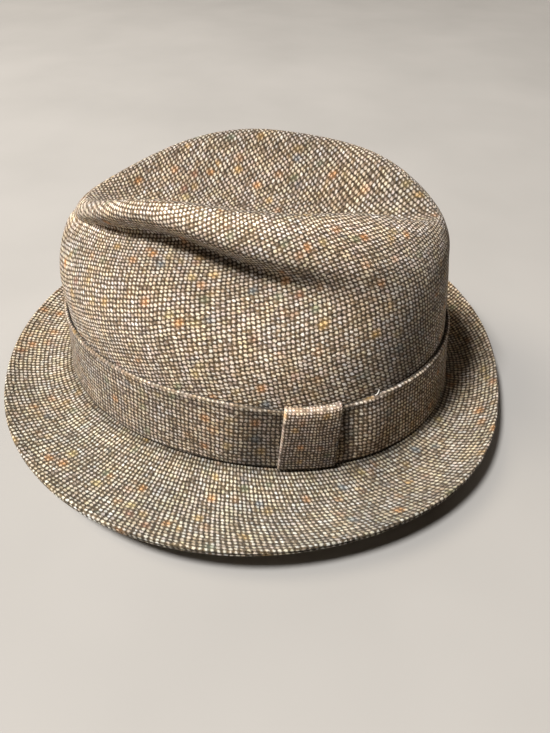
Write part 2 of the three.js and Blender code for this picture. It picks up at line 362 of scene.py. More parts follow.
# Slow changes from cool to warm cloth, and heather patches of a few dots from blue-grey to yellow
HUE_SHADES = (
    (0.3, (0.95, 1.01, 1.06)),
    (0.7, (1.06, 0.99, 0.90)),
)
HEATHER_SHADES = (
    (0.35, (0.985, 1.0, 1.07)),
    (0.65, (1.02, 1.005, 0.91)),
)
THREAD_SHADES = (
    (0.3, (0.62, 0.60, 0.56)),
    (0.7, (0.86, 0.84, 0.80)),
)

# Each piece's colour against the yarn's own, and half the length and width of its dots in dot pitches
CROWN_TINT = (0.985, 0.98, 1.02)
CROWN_DOTS = (0.49, 0.32)
BRIM_TINT = (0.96, 0.98, 0.99)
BRIM_DOTS = (0.41, 0.36)
BAND_TINT = (0.94, 0.92, 0.94)
BAND_DOTS = (0.46, 0.33)
# The loop's tint is much darker as painted shade
LOOP_TINT_WITH_SHADE = (0.63, 0.60, 0.62)
LOOP_DOTS = (0.44, 0.33)

# Patterns of the cloth. Scales count per dot pitch, and those of the tone, hue and twist per metre
SLOW_WOBBLE_SCALE = 0.06
SLOW_WOBBLE = 1.2
BRIM_SLOW_WOBBLE = 0.5
FINE_WOBBLE_SCALE = 0.4
FINE_WOBBLE = 0.3
RAGGED_SCALE = 3.5
GROUND_SCALE = 1.1
FLECK_SCALE = 0.26
HEATHER_SCALE = 0.24
FUZZ_SCALE = 7.0
TONE_SCALE = 22.0
HUE_SCALE = 45.0
TWIST_SCALE = 900.0
# Streaks change slowly along a thread, and the step to the next thread leads to another streak
STREAK_SCALE_ALONG = 0.09
STREAK_SCALE_ACROSS = 3.7
# Each dot is moved, made ragged and grown by chance. Its tone rises from its edge to its middle, a painted
# highlight on each dot
DOT_JITTER = 0.2
DOT_RAGGED = 1.1
DOT_GROWTH = 0.35
OTHER_CHANCE = (37.3, 11.9, 0)
DOT_EDGE = (1.2, 0.5)
DOT_HIGHLIGHT = (0.95, 0.1, 0.84, 1.1)
# How far a folded edge hides the dark yarn: partly pale yarn and partly a painted highlight
FOLD_COVER = 0.75
# Pits where four dots meet, darkened on the dark yarn as painted shade: their reach, and how their depth
# follows the ragged noise
PIT_REACH = (0.34, 0.08)
PIT_DEPTHS = (0.3, 0.6, 0.35, 1.0)
# Flecks: the share of places that has one, their edge, strength, and tone off and on a dot
FLECK_SHARE = 0.34
FLECK_RAGGED = 0.35
FLECK_EDGE = (0.62, 0.2)
FLECK_STRENGTHS = (0.2, 0.8)
FLECK_GROUND_TONE = 0.3
FLECK_DOT_TONE = 0.6
# The part of a noise's range that is used, and the tones it gives to the cloth and to single threads
NOISE_REACH = (0.3, 0.7)
CLOTH_TONES = (0.92, 1.08)
STREAK_TONES = (0.84, 1.16)
# How far the hue changes, and how it drifts from warm to cool towards the wearer's left on the brim, as a
# painted change in the light's colour
HUE_CHANGE = 0.6
WARMTH = 0.5
BRIM_WARMTH = 0.6
BRIM_PAINTED_LIGHT_DRIFT = 2.0
# Relief of the weave
DOT_HEIGHT = 0.8
FUZZ_HEIGHT = 0.6
RELIEF_STRENGTH = 0.9
RELIEF_DEPTH = 0.0006
FLAT_HALF = (0.5, 0.5, 0.0)


def make_camera():
    """The camera at the photo's angle."""
    data = bpy.data.cameras.new("camera")
    data.sensor_width = SENSOR_WIDTH
    data.lens = SENSOR_WIDTH * FOCAL_PIXELS / IMAGE_HEIGHT
    data.clip_start, data.clip_end = CAMERA_CLIP
    azimuth = math.radians(CAMERA_AZIMUTH)
    elevation = math.radians(CAMERA_ELEVATION)
    roll = math.radians(CAMERA_ROLL)
    flat = math.cos(elevation)
    back = Vector((math.sin(azimuth) * flat, -math.cos(azimuth) * flat, math.sin(elevation)))
    level = (-back).cross(Vector((0, 0, 1))).normalized()
    up = level.cross(-back)
    right = level * math.cos(roll) + up * math.sin(roll)
    up = up * math.cos(roll) - level * math.sin(roll)
    turn = Matrix((right, up, back)).transposed().to_4x4()
    camera = bpy.data.objects.new("camera", data)
    camera.matrix_world = Matrix.Translation(CAMERA_PLACE) @ turn
    bpy.context.scene.collection.objects.link(camera)
    bpy.context.scene.camera = camera


def smooth_step(start, end, value):
    """Zero before the start, one past the end, and a soft rise between."""
    t = np.clip((value - start) / (end - start), 0.0, 1.0)
    return t * t * (3 - 2 * t)


def hump(off):
    """A soft hump: one in the middle, and about a third at a width from it."""
    return np.exp(-(off**2))


def smooth_between(before, start, end, after, t):
    """A smooth curve through four neighbouring values, at t between the middle two."""
    slope = (end - before) * t
    square = (2 * before - 5 * start + 4 * end - after) * t**2
    cube = (3 * start - before - 3 * end + after) * t**3
    return 0.5 * (2 * start + slope + square + cube)


def smooth_table(values, place):
    """Values of one evenly spaced column at any places between its rows, held at its ends."""
    values = np.asarray(values, float)
    last = len(values) - 1
    place = np.clip(place, 0, last)
    i = np.minimum(np.floor(place).astype(int), last - 1)
    pick = [values[np.clip(i + k, 0, last)] for k in (-1, 0, 1, 2)]
    return smooth_between(*pick, place - i)


def crown_value(name, row):
    """One column of the crown's table. Past the dent's floor the rows come back mirrored."""
    column = np.array([r[ROW_COLUMNS.index(name)] for r in CROWN_ROWS], float)
    last = len(column) - 1
    beyond = -column[last - 1] if name == "half_width" else column[last - 1]
    column = np.append(column, beyond)
    row = np.clip(row, 0, last)
    i = np.minimum(np.floor(row).astype(int), last - 1)
    pick = [column[np.maximum(i + k, 0)] for k in (-1, 0, 1, 2)]
    return smooth_between(*pick, row - i)


def pinch_value(name, y):
    """One column of the pinch's table at a place along the hat."""
    column = [r[PINCH_COLUMNS.index(name)] for r in PINCH_PATH]
    return smooth_table(column, (y - PINCH_FROM_Y) / PINCH_STEP_Y)


def brim_edge_value(name, angle):
    """One column of the brim's table at an angle, closed on itself."""
    column = np.array([r[BRIM_EDGE_COLUMNS.index(name)] for r in BRIM_EDGE], float)
    count = len(column)
    place = np.degrees(angle) / BRIM_EDGE_STEP
    i = np.floor(place).astype(int)
    pick = [column[(i + k) % count] for k in (-1, 0, 1, 2)]
    return smooth_between(*pick, place - i)


def oval_part(value):
    """A sine or cosine turned into that of the hat's oval."""
    return np.sign(value) * np.abs(value) ** (2 / OVAL_POWER)


def crown_point(angle, row):
    """Outer face of the crown at an angle and a row of its table."""
    across = oval_part(np.cos(angle))
    along = oval_part(np.sin(angle))
    at_front = along < 0
    reach = np.where(at_front, crown_value("front", row), crown_value("back", row))
    added = np.where(at_front, crown_value("front_add", row), crown_value("back_add", row))
    side_z = crown_value("side_z", row)
    end_z = np.where(at_front, crown_value("front_z", row), crown_value("back_z", row))
    fall = np.abs(along) ** np.where(at_front, FRONT_FALL, BACK_FALL)
    x = crown_value("half_width", row) * across
    y = (reach + added * np.abs(along) ** ADD_POWER) * along
    z = side_z + (end_z - side_z) * fall
    off = row - pinch_value("row", y)
    width = np.where(off > 0, pinch_value("above", y), pinch_value("below", y))
    pinch = pinch_value("inward", y) * hump(off / width)
    x = x - np.sign(across) * pinch * np.minimum(1, np.abs(x) / PINCH_CENTRE_FADE)
    z = z - PINCH_DROP * pinch
    return np.stack([x, y + HEAD_CENTRE_Y, z], -1)


def unit(vectors):
    """The same directions, each one long."""
    return vectors / np.linalg.norm(vectors, axis=-1, keepdims=True)


def crown_normal(angle, row):
    """The way out of the crown's outer face, from two short steps along it."""
    last = len(CROWN_ROWS) - 1
    held = np.minimum(row, last - NORMAL_STEP)
    around = crown_point(angle + NORMAL_STEP, held) - crown_point(angle - NORMAL_STEP, held)
    high = np.minimum(row + NORMAL_STEP, last)
    low = np.maximum(row - NORMAL_STEP, 0)
    rise = crown_point(angle, high) - crown_point(angle, low)
    return unit(np.cross(around, rise))


def crown_offset(angle, row, distance):
    """Points at a distance out from the crown's outer face."""
    return crown_point(angle, row) + crown_normal(angle, row) * np.asarray(distance)[..., None]


def row_at_height(z):
    """The crown table's row at a height on the straight lower wall."""
    z = np.asarray(z, float)
    low = np.zeros_like(z)
    high = np.full_like(z, HEIGHT_SEARCH_LAST_ROW)
    for _ in range(HEIGHT_SEARCH_STEPS):
        middle = (low + high) / 2
        under = crown_value("side_z", middle) < z
        low = np.where(under, middle, low)
        high = np.where(under, high, middle)
    return (low + high) / 2


def make_piece(name, points, faces, weave, slot, fold=0.0, turn=WALL_TURN, tone=1.0, ease=1.0):
    """A mesh from points in millimetres, faces of point numbers and the weave's place at each point.

    Two more layers hold how much a place belongs to a fold and the turn of its dots, and the cloth's tone of
    painted light and shade and how far the weave may wobble.
    """
    mesh = bpy.data.meshes.new(name)
    mesh.from_pydata((np.asarray(points) * MM).tolist(), [], faces)
    loop_points = np.empty(len(mesh.loops), int)
    mesh.loops.foreach_get("vertex_index", loop_points)
    spread = [np.broadcast_to(value, len(points)) for value in (fold, turn, tone, ease)]
    fold_turn = np.stack(spread[:2], -1)
    shade_and_ease = np.stack(spread[2:], -1)
    for layer_name, values in (("weave", np.asarray(weave)), ("fold", fold_turn), ("tone", shade_and_ease)):
        layer = mesh.uv_layers.new(name=layer_name)
        layer.data.foreach_set("uv", values[loop_points].astype(np.float32).ravel())
    mesh.polygons.foreach_set("use_smooth", [True] * len(mesh.polygons))
    mesh.update()
    piece = bpy.data.objects.new(name, mesh)
    bpy.context.scene.collection.objects.link(piece)
    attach(piece, "root")
    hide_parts(slot)
    return piece


def strip_faces(rows, columns, start=0, flip=False):
    """Quads over a grid of points, row by row."""
    faces = []
    for i in range(rows - 1):
        for j in range(columns - 1):
            a = start + i * columns + j
            quad = (a, a + 1, a + columns + 1, a + columns)
            faces.append(quad[::-1] if flip else quad)
    return faces


def arc_lengths(points):
    """Distance along each grid line, from its first point, for points as (lines, steps, xyz)."""
    steps = np.linalg.norm(np.diff(points, axis=1), axis=-1)
    return np.concatenate([np.zeros((len(points), 1)), np.cumsum(steps, axis=1)], axis=1)


def lengths_up(points):
    """Distance from the first row of a grid, along each of its columns."""
    return arc_lengths(points.transpose(1, 0, 2)).T


def dots_along(row_points):
    """Places in dots along one row of a grid that goes all round, with a whole number of dots in it."""
    along = arc_lengths(row_points[None])[0]
    return along / along[-1] * round(along[-1] / DOT_PITCH)


def seam_ease(angle):
    """Zero at the seam on the wearer's right and one away from it."""
    return smooth_step(0, SEAM_EASE, 180 - np.abs(np.degrees(angle)))


def painted_shade_at(table, angle):
    """Painted shade at an angle, from a table of darker places."""
    tone = 1.0
    for middle, width, darker in table:
        tone = tone - darker * hump((np.degrees(angle) - middle) / width)
    return tone


def crown_painted_light(angle, row, points):
    """Painted light and shade on the crown's outer face. The paler shoulder, a painted highlight, is on the
    wearer's left only.
    """
    y = points[..., 1] - HEAD_CENTRE_Y
    middle = hump((y - TONE_MIDDLE_Y) / TONE_END_REACH)
    side = smooth_step(-TONE_SIDE_REACH, TONE_SIDE_REACH, points[..., 0])
    side = side * (TONE_END_SHARE + (1 - TONE_END_SHARE) * middle)
    tone = 1 + (np.interp(row, *np.array(WALL_PAINTED_LIGHT).T) - 1) * side
    lower_wall = 1 - smooth_step(*LOWER_WALL_ROWS, row)
    tone = tone * (1 + (painted_shade_at(LOWER_WALL_PAINTED_SHADES, angle) - 1) * lower_wall)
    at_back = smooth_step(*CREASE_BACK_COMES, y) * (1 - smooth_step(*CREASE_BACK_GOES, y))
    at_front = 1 - smooth_step(*CREASE_FRONT_GOES, y)
    darker = CREASE_BACK_PAINTED_SHADE * at_back + CREASE_FRONT_PAINTED_SHADE * at_front
    return tone * (1 - darker * hump((row - pinch_value("row", y)) / CREASE_WIDTH))


def crown_grid(steps_per_row, depth):
    """Angles, rows and points of one face of the crown, with the first angle repeated at the end."""
    rows = np.arange((len(CROWN_ROWS) - 1) * steps_per_row + 1) / steps_per_row
    angles = np.linspace(-np.pi, np.pi, CROWN_AROUND + 1)
    row, angle = np.meshgrid(rows, angles, indexing="ij")
    return angle, row, crown_offset(angle, row, np.full(row.shape, -depth))


def wall_weave(row, points):
    """The weave's place on the wall: columns lean a little, and rows run on tilted planes."""
    up = lengths_up(points)
    girth_row = points[(row[:, 0] < RIDGE_ROW / 2).sum()]
    u = dots_along(girth_row) + CROWN_LEAN * up / DOT_PITCH
    tilt = np.radians(CROWN_TILT_AZIMUTH)
    leaning = points[..., 0] * np.cos(tilt) + points[..., 1] * np.sin(tilt)
    v = (up - CROWN_ROW_TILT * leaning) / DOT_PITCH
    return np.stack([u, v], -1)


def tip_weave(points):
    """The weave's place inside the ridge: straight lines at one angle to the dent."""
    grain = np.radians(TIP_GRAIN)
    x = points[..., 0] * TIP_SLOPE_STRETCH
    y = points[..., 1]
    u = (x * np.cos(grain) + y * np.sin(grain)) / DOT_PITCH
    v = (-x * np.sin(grain) + y * np.cos(grain)) / DOT_PITCH
    return np.stack([u, v], -1)


def make_crown():
    """The crown's wall and tip outside, its inner face, and its closed lower edge."""
    angle, row, outer = crown_grid(CROWN_OUTER_STEPS, 0.0)
    ridge = RIDGE_ROW * CROWN_OUTER_STEPS
    columns = CROWN_AROUND + 1
    wall = outer[: ridge + 1]
    wall_angle = angle[: ridge + 1]
    wall_row = row[: ridge + 1]
    tip = outer[ridge:]
    inner = crown_grid(CROWN_INNER_STEPS, CROWN_CLOTH)[2]
    points = np.concatenate([g.reshape(-1, 3) for g in (wall, tip, inner)])
    weave = np.concatenate([
        wall_weave(wall_row, wall).reshape(-1, 2),
        tip_weave(tip).reshape(-1, 2),
        tip_weave(inner).reshape(-1, 2),
    ])
    faces = strip_faces(len(wall), columns)
    faces += strip_faces(len(tip), columns, len(wall) * columns)
    inner_start = (len(wall) + len(tip)) * columns
    faces += strip_faces(len(inner), columns, inner_start, flip=True)
    for j in range(columns - 1):
        faces.append((j + 1, j, inner_start + j, inner_start + j + 1))
    wall_count = wall_row.size
    turn = np.full(len(points), TIP_TURN)
    turn[:wall_count] = WALL_TURN
    tone = np.full(len(points), TIP_PAINTED_SHADE)
    tone[:wall_count] = crown_painted_light(wall_angle, wall_row, wall).ravel()
    ease = np.ones(len(points))
    ease[:wall_count] = seam_ease(wall_angle).ravel()
    return make_piece("crown_cloth", points, faces, weave, "crown", turn=turn, tone=tone, ease=ease)


def brim_hole_radius(angle):
    """How far the brim's inner edge is from the middle of the head."""
    half_width = CROWN_ROWS[0][0] + GAP
    half_length = CROWN_ROWS[0][1] + GAP
    across = np.abs(np.cos(angle) / half_width) ** OVAL_POWER
    along = np.abs(np.sin(angle) / half_length) ** OVAL_POWER
    return (across + along) ** (-1 / OVAL_POWER)


def brim_top(angle, part):
    """Height of the brim's upper face, from the head (0) to the edge (1)."""
    rise = BRIM_HEAD_RISE * (1 - np.minimum(part / BRIM_FLAT_FROM, 1)) ** 2
    curl = np.clip((part - BRIM_FLAT_TO) / (1 - BRIM_FLAT_TO), 0, 1) ** BRIM_CURL_POWER
    return BRIM_THICKNESS + rise + (brim_edge_value("height", angle) - BRIM_THICKNESS) * curl


def make_brim():
    """The brim's upper face from the head outwards, its round edge, and its lower face back to the head."""
    angles = np.linspace(-np.pi, np.pi, BRIM_AROUND + 1)
    hole = brim_hole_radius(angles)
    reach = brim_edge_value("reach", angles) - BRIM_NOSE
    parts = np.linspace(0, 1, BRIM_PARTS + 1)
    painted_side_shade = painted_shade_at(BRIM_PAINTED_SHADES, angles)
    rows = []
    painted_light_tones = []
    for part in parts:
        groove = hump(((reach - hole) * (1 - part) - GROOVE_FROM_EDGE) / GROOVE_WIDTH)
        rows.append((hole + (reach - hole) * part, brim_top(angles, part) - GROOVE_DEPTH * groove))
        beside_band = hump((reach - hole) * part / BRIM_CORNER_WIDTH)
        painted_light_tones.append(painted_side_shade * (1 - GROOVE_SHADE * groove) * (1 - BRIM_CORNER_SHADE * beside_band))
    edge_top = brim_top(angles, 1.0)
    for turn in np.pi * np.arange(1, NOSE_STEPS) / NOSE_STEPS:
        notch = hump((turn - np.pi / 2) / EDGE_NOTCH_WIDTH)
        out = reach + BRIM_NOSE * np.sin(turn) - EDGE_NOTCH * notch
        rows.append((out, edge_top - BRIM_THICKNESS * (1 - np.cos(turn)) / 2))
        painted_light_tones.append(painted_side_shade * (1 - EDGE_NOTCH_SHADE * notch))
    for part in parts[::-1]:
        rows.append((hole + (reach - hole) * part, brim_top(angles, part) - BRIM_THICKNESS))
        painted_light_tones.append(painted_side_shade)
    rows.append(rows[0])
    painted_light_tones.append(painted_light_tones[0])
    points = np.stack([
        np.stack([r * np.cos(angles), r * np.sin(angles) + HEAD_CENTRE_Y, z], -1) for r, z in rows
    ])
    across = lengths_up(points) / DOT_PITCH
    spiral = np.tan(np.radians(BRIM_SPIRAL)) * across
    u = angles / (2 * np.pi) * BRIM_COLUMNS_ROUND - spiral
    weave = np.stack([u, across], -1).reshape(-1, 2)
    faces = strip_faces(len(points), BRIM_AROUND + 1, flip=True)
    ease = np.broadcast_to(seam_ease(angles), points.shape[:2]).ravel()
    look = {"turn": BRIM_TURN, "tone": np.stack(painted_light_tones).ravel(), "ease": ease}
    return make_piece("brim_cloth", points.reshape(-1, 3), faces, weave, "brim", **look)


def band_top(angle):
    """Height of the band's top edge."""
    return BAND_TO_Z - BAND_DIP * hump((np.degrees(angle) - BAND_DIP_ANGLE) / BAND_DIP_WIDTH)


def band_puff(angle, share):
    """How far the band stands out beside the loop, at a share of its height."""
    puff = 0
    for middle, width, height in BAND_PUFFS:
        puff = puff + height * hump((np.degrees(angle) - middle) / width)
    return puff * np.sin(np.pi * np.clip(share, 0, 1)) ** PUFF_FULLNESS


def band_section():
    """Outline of the band's section, from its foot up the outside and down the inside.

    Each place is a distance out, a height, how much it belongs to the fold, and its tone of painted light and
    shade.
    """
    outside = GAP + BAND_CLOTH
    face_heights = np.linspace(BAND_FROM_Z + BAND_FACE_FROM, BAND_TO_Z + BAND_FACE_TO, BAND_FACE_STEPS)
    inside_heights = ((BAND_FROM_Z + BAND_TO_Z) / 2, BAND_FROM_Z)
    section = [(outside + out, BAND_FROM_Z + z, fold, tone) for out, z, fold, tone in BAND_FOOT]
    section += [(outside, z, 0, 1) for z in face_heights]
    section += [(outside + out, BAND_TO_Z + z, fold, tone) for out, z, fold, tone in BAND_FOLD]
    section += [(GAP, z, 0, BAND_INSIDE_PAINTED_SHADE) for z in inside_heights]
    return section


def make_band():
    """The band all round the crown, with its folded top edge."""
    angles = np.linspace(-np.pi, np.pi, BAND_AROUND + 1)
    full_height = BAND_TO_Z - BAND_FROM_Z
    stretch = (band_top(angles) - BAND_FROM_Z) / full_height
    painted_side_shade = painted_shade_at(BAND_PAINTED_SHADES, angles)
    fold_left = 1 - FOLD_FADE * smooth_step(*FOLD_FADE_ANGLES, np.degrees(angles))
    rows = []
    folds = []
    painted_light_tones = []
    for out, z, fold, tone in band_section():
        share = (z - BAND_FROM_Z) / full_height
        height = BAND_FROM_Z + (z - BAND_FROM_Z) * stretch
        rows.append(crown_offset(angles, row_at_height(height), out + band_puff(angles, share)))
        folds.append(fold * fold_left)
        painted_light_tones.append(painted_side_shade * (1 + (tone - 1) * (fold_left if tone > 1 else 1)))
    points = np.stack(rows)
    u = np.broadcast_to(dots_along(points[len(points) // 2]), points.shape[:2])
    weave = np.stack([u, lengths_up(points) / DOT_PITCH], -1).reshape(-1, 2)
    faces = strip_faces(len(points), BAND_AROUND + 1)
    ease = np.broadcast_to(seam_ease(angles), points.shape[:2]).ravel()
    look = {"fold": np.stack(folds).ravel(), "turn": BAND_TURN, "tone": np.stack(painted_light_tones).ravel(), "ease": ease}
    return make_piece("band_cloth", points.reshape(-1, 3), faces, weave, "hat_band", **look)


def loop_section():
    """Outline of the loop's section: distance out from the crown, height over the band's top, fold."""
    hooked = LOOP_OUTSIDE - LOOP_HOOK_DEPTH - LOOP_CLOTH
    under = GAP
    top = under + LOOP_CLOTH
    foot = LOOP_FROM_Z - BAND_TO_Z
    middle = (foot + top) / 2
    heights = np.linspace(foot + LOOP_FACE_FROM, top + LOOP_FACE_TO, LOOP_FACE_STEPS)
    bulge = LOOP_BULGE * (1 - ((heights - middle) / (middle - foot)) ** 2)
    section = [(LOOP_INSIDE, foot, 0)]
    section += [(LOOP_OUTSIDE + out, foot + z, fold) for out, z, fold in LOOP_FOOT]
    section += [(LOOP_OUTSIDE + b, z, 0) for b, z in zip(bulge, heights)]
    section += [(LOOP_OUTSIDE + out, top + z, fold) for out, z, fold in LOOP_FOLD]
    section += [(hooked, top - LOOP_HOOK_ROUNDING, 0), (hooked, under, 0)]
    section += [(LOOP_INSIDE, z, 0) for z in (under, middle, foot)]
    return section


def make_loop():
    """The loop over the band, hooked in over its top edge, with its two side edges folded."""
    across = np.linspace(0, 1, LOOP_ACROSS + 1)
    front_fold = np.clip(1 - across / LOOP_SIDE_FOLD, 0, 1)
    back_fold = np.clip((across - 1) / LOOP_SIDE_FOLD + 1, 0, 1)
    side_fold = np.maximum(front_fold, LOOP_BACK_FOLD * back_fold)
    rounding = LOOP_SIDE_ROUNDING * (front_fold**2 + back_fold**2)
    full_height = BAND_TO_Z - LOOP_FROM_Z
    rows = []
    folds = []
    painted_light_tones = []
    for out, z, fold in loop_section():
        share = (z + full_height) / full_height
        lean = LOOP_LEAN * (share - 1)
        angles = np.radians(LOOP_FROM_ANGLE + lean + (LOOP_TO_ANGLE - LOOP_FROM_ANGLE) * across)
        height = np.where(z > 0, band_top(angles) + z, LOOP_FROM_Z + (band_top(angles) - LOOP_FROM_Z) * share)
        at_face = 1.0 if out > LOOP_INSIDE else 0.0
        reach = out + band_puff(angles, share) * LOOP_PUFF_SHARE - rounding * at_face
        rows.append(crown_offset(angles, row_at_height(height), reach))
        folds.append(np.maximum(fold, side_fold * at_face))
        painted_light_tones.append(np.interp(share, *np.array(LOOP_PAINTED_LIGHT).T) + LOOP_SIDE_YARN_AND_HIGHLIGHT * front_fold)
    points = np.stack(rows)
    along = arc_lengths(points[len(points) // 2][None])[0]
    u = np.broadcast_to(along / LOOP_DOT_PITCH, points.shape[:2])
    weave = np.stack([u, lengths_up(points) / LOOP_DOT_PITCH], -1).reshape(-1, 2)
    columns = LOOP_ACROSS + 1
    faces = strip_faces(len(points), columns)
    for j in (0, columns - 1):
        cap = [i * columns + j for i in range(len(points) - 1)]
        faces.append(cap if j == 0 else cap[::-1])
    look = {"fold": np.stack(folds).ravel(), "turn": BAND_TURN, "tone": np.stack(painted_light_tones).ravel()}
    return make_piece("loop_cloth", points.reshape(-1, 3), faces, weave, "band_loop", **look)


def make_thread_end():
    """A short loose end of thread that stands out above the band behind the loop."""
    steps = np.linspace(0, 1, THREAD_STEPS)
    angles = np.radians(THREAD_ANGLE + THREAD_SWEEP * steps)
    heights = THREAD_FROM_Z + THREAD_RISE * steps - THREAD_DROOP * steps**3
    out = THREAD_FROM_CROWN + THREAD_STAND_OFF * np.sin(np.pi * steps)
    line = crown_offset(angles, row_at_height(heights), out)
    along = unit(np.gradient(line, axis=0))
    side = unit(np.cross(along, (0, 0, 1)))
    other = np.cross(side, along)
    turns = np.linspace(0, 2 * np.pi, THREAD_SIDES, endpoint=False)
    radius = THREAD_RADIUS * (1 - THREAD_TAPER * steps**4)
    ring = side[:, None] * np.cos(turns)[:, None] + other[:, None] * np.sin(turns)[:, None]
    points = (line[:, None] + ring * radius[:, None, None]).reshape(-1, 3)
    faces = []
    for i in range(THREAD_STEPS - 1):
        for j in range(THREAD_SIDES):
            k = (j + 1) % THREAD_SIDES
            a = i * THREAD_SIDES
            faces.append((a + j, a + k, a + THREAD_SIDES + k, a + THREAD_SIDES + j))
    faces.append(tuple(range(THREAD_SIDES))[::-1])
    faces.append(tuple(range(len(points) - THREAD_SIDES, len(points))))
    weave = np.zeros((len(points), 2))
    return make_piece("thread_end", points, faces, weave, "hat_band")


class Nodes:
    """Short calls for building a material's nodes."""

    def __init__(self, material):
        material.use_nodes = True
        self.tree = material.node_tree
        self.tree.nodes.clear()

    def set_input(self, socket, value):
        """Link another node's output to a socket, or set its value."""
        if isinstance(value, bpy.types.NodeSocket):
            self.tree.links.new(value, socket)
        else:
            socket.default_value = value

    def add(self, kind, inputs=(), **settings):
        node = self.tree.nodes.new(kind)
        for key, value in settings.items():
            setattr(node, key, value)
        for key, value in dict(inputs).items():
            self.set_input(node.inputs[key], value)
        return node

    def calc(self, operation, a, b=0.0):
        return self.add("ShaderNodeMath", {0: a, 1: b}, operation=operation).outputs[0]

    def vector(self, operation, a, b=(0, 0, 0)):
        return self.add("ShaderNodeVectorMath", {0: a, 1: b}, operation=operation).outputs[0]

    def scaled(self, vector, scale):
        return self.add("ShaderNodeVectorMath", {0: vector, "Scale": scale}, operation="SCALE").outputs[0]

    def length(self, vector):
        return self.add("ShaderNodeVectorMath", {0: vector}, operation="LENGTH").outputs["Value"]

    def parts(self, vector):
        return self.add("ShaderNodeSeparateXYZ", {0: vector}).outputs

    def layer(self, name):
        """The two numbers that one of the mesh's layers holds."""
        return self.parts(self.add("ShaderNodeUVMap", uv_map=name).outputs["UV"])[:2]

    def noise(self, place, scale, detail, dimensions="2D"):
        inputs = {"Vector": place, "Scale": scale, "Detail": detail}
        return self.add("ShaderNodeTexNoise", inputs, noise_dimensions=dimensions).outputs

    def chance(self, cell):
        """A number and a colour by chance for each place in a plane."""
        return self.add("ShaderNodeTexWhiteNoise", {"Vector": cell}, noise_dimensions="2D").outputs

    def step(self, value, low, high, to_low=0.0, to_high=1.0):
        """A soft change from one value to another while the input goes from low to high."""
        inputs = {"Value": value, 1: low, 2: high, 3: to_low, 4: to_high}
        return self.add("ShaderNodeMapRange", inputs, interpolation_type="SMOOTHSTEP").outputs[0]

    def mix(self, factor, a, b, blend="MIX"):
        """Two colours mixed. Only the enabled sockets are those for colours."""
        values = {"Factor": factor, "A": a, "B": b}
        node = self.add("ShaderNodeMix", data_type="RGBA", blend_type=blend)
        for socket in node.inputs:
            if socket.enabled:
                self.set_input(socket, values[socket.name])
        return next(socket for socket in node.outputs if socket.enabled)

    def times(self, a, b):
        return self.mix(1.0, a, b, "MULTIPLY")

    def grey(self, value):
        return self.add("ShaderNodeCombineColor", {0: value, 1: value, 2: value}).outputs[0]

    def ramp(self, factor, stops, constant=False):
        node = self.add("ShaderNodeValToRGB", {0: factor})
        node.color_ramp.interpolation = "CONSTANT" if constant else "LINEAR"
        elements = node.color_ramp.elements
        while len(elements) < len(stops):
            elements.new(0.5)
        for element, (place, colour) in zip(elements, stops):
            element.position = place
            element.color = (*colour, 1)
        return node.outputs[0]


def wobbled_place(n, reach, ease):
    """The weave's place, moved by a slow and a fine wobble as far as ease lets them."""
    place = n.add("ShaderNodeUVMap", uv_map="weave").outputs["UV"]
    for scale, amount in ((SLOW_WOBBLE_SCALE, reach), (FINE_WOBBLE_SCALE, FINE_WOBBLE)):
        wobble = n.noise(place, scale, 1.0)["Color"]
        shift = n.vector("MULTIPLY", n.vector("SUBTRACT", wobble, FLAT_HALF), (amount, amount, 0.0))
        place = n.vector("ADD", place, n.scaled(shift, ease))
    return place


def dot_distance(n, place, cell, chance, turn, dot_size, ragged):
    """Distance from the middle of a cell's dot, against its own size, made ragged and uneven."""
    jitter = n.vector("SUBTRACT", chance["Color"], FLAT_HALF)
    moved = n.vector("MULTIPLY", jitter, (DOT_JITTER, DOT_JITTER, 0.0))
    local = n.vector("SUBTRACT", n.vector("FRACTION", place), FLAT_HALF)
    local = n.vector("SUBTRACT", local, moved)
    angle = n.calc("MULTIPLY", turn, -2 * math.pi)
    turned = n.add("ShaderNodeVectorRotate", {"Vector": local, "Angle": angle}, rotation_type="Z_AXIS")
    shaped = n.vector("MULTIPLY", turned.outputs[0], (1 / dot_size[0], 1 / dot_size[1], 0.0))
    other_chance = n.chance(n.vector("ADD", cell, OTHER_CHANCE))
    uneven = n.calc("MULTIPLY", n.calc("SUBTRACT", ragged, 0.5), DOT_RAGGED)
    grown = n.calc("MULTIPLY", n.calc("SUBTRACT", other_chance["Value"], 0.5), DOT_GROWTH)
    return n.calc("SUBTRACT", n.calc("ADD", n.length(shaped), uneven), grown)


def dark_ground(n, place, ragged):
    """Colour of the dark yarn between the dots, with painted shade darkest in the pits where four dots meet.
    """
    colour = n.ramp(n.noise(place, GROUND_SCALE, 2.0)["Fac"], GROUND_SHADES)
    corner = n.vector("SUBTRACT", n.vector("FRACTION", n.vector("ADD", place, FLAT_HALF)), FLAT_HALF)
    pit = n.calc("MULTIPLY", n.step(n.length(corner), *PIT_REACH), n.step(ragged, *PIT_DEPTHS))
    return n.mix(pit, colour, PIT_SHADE_COLOUR)


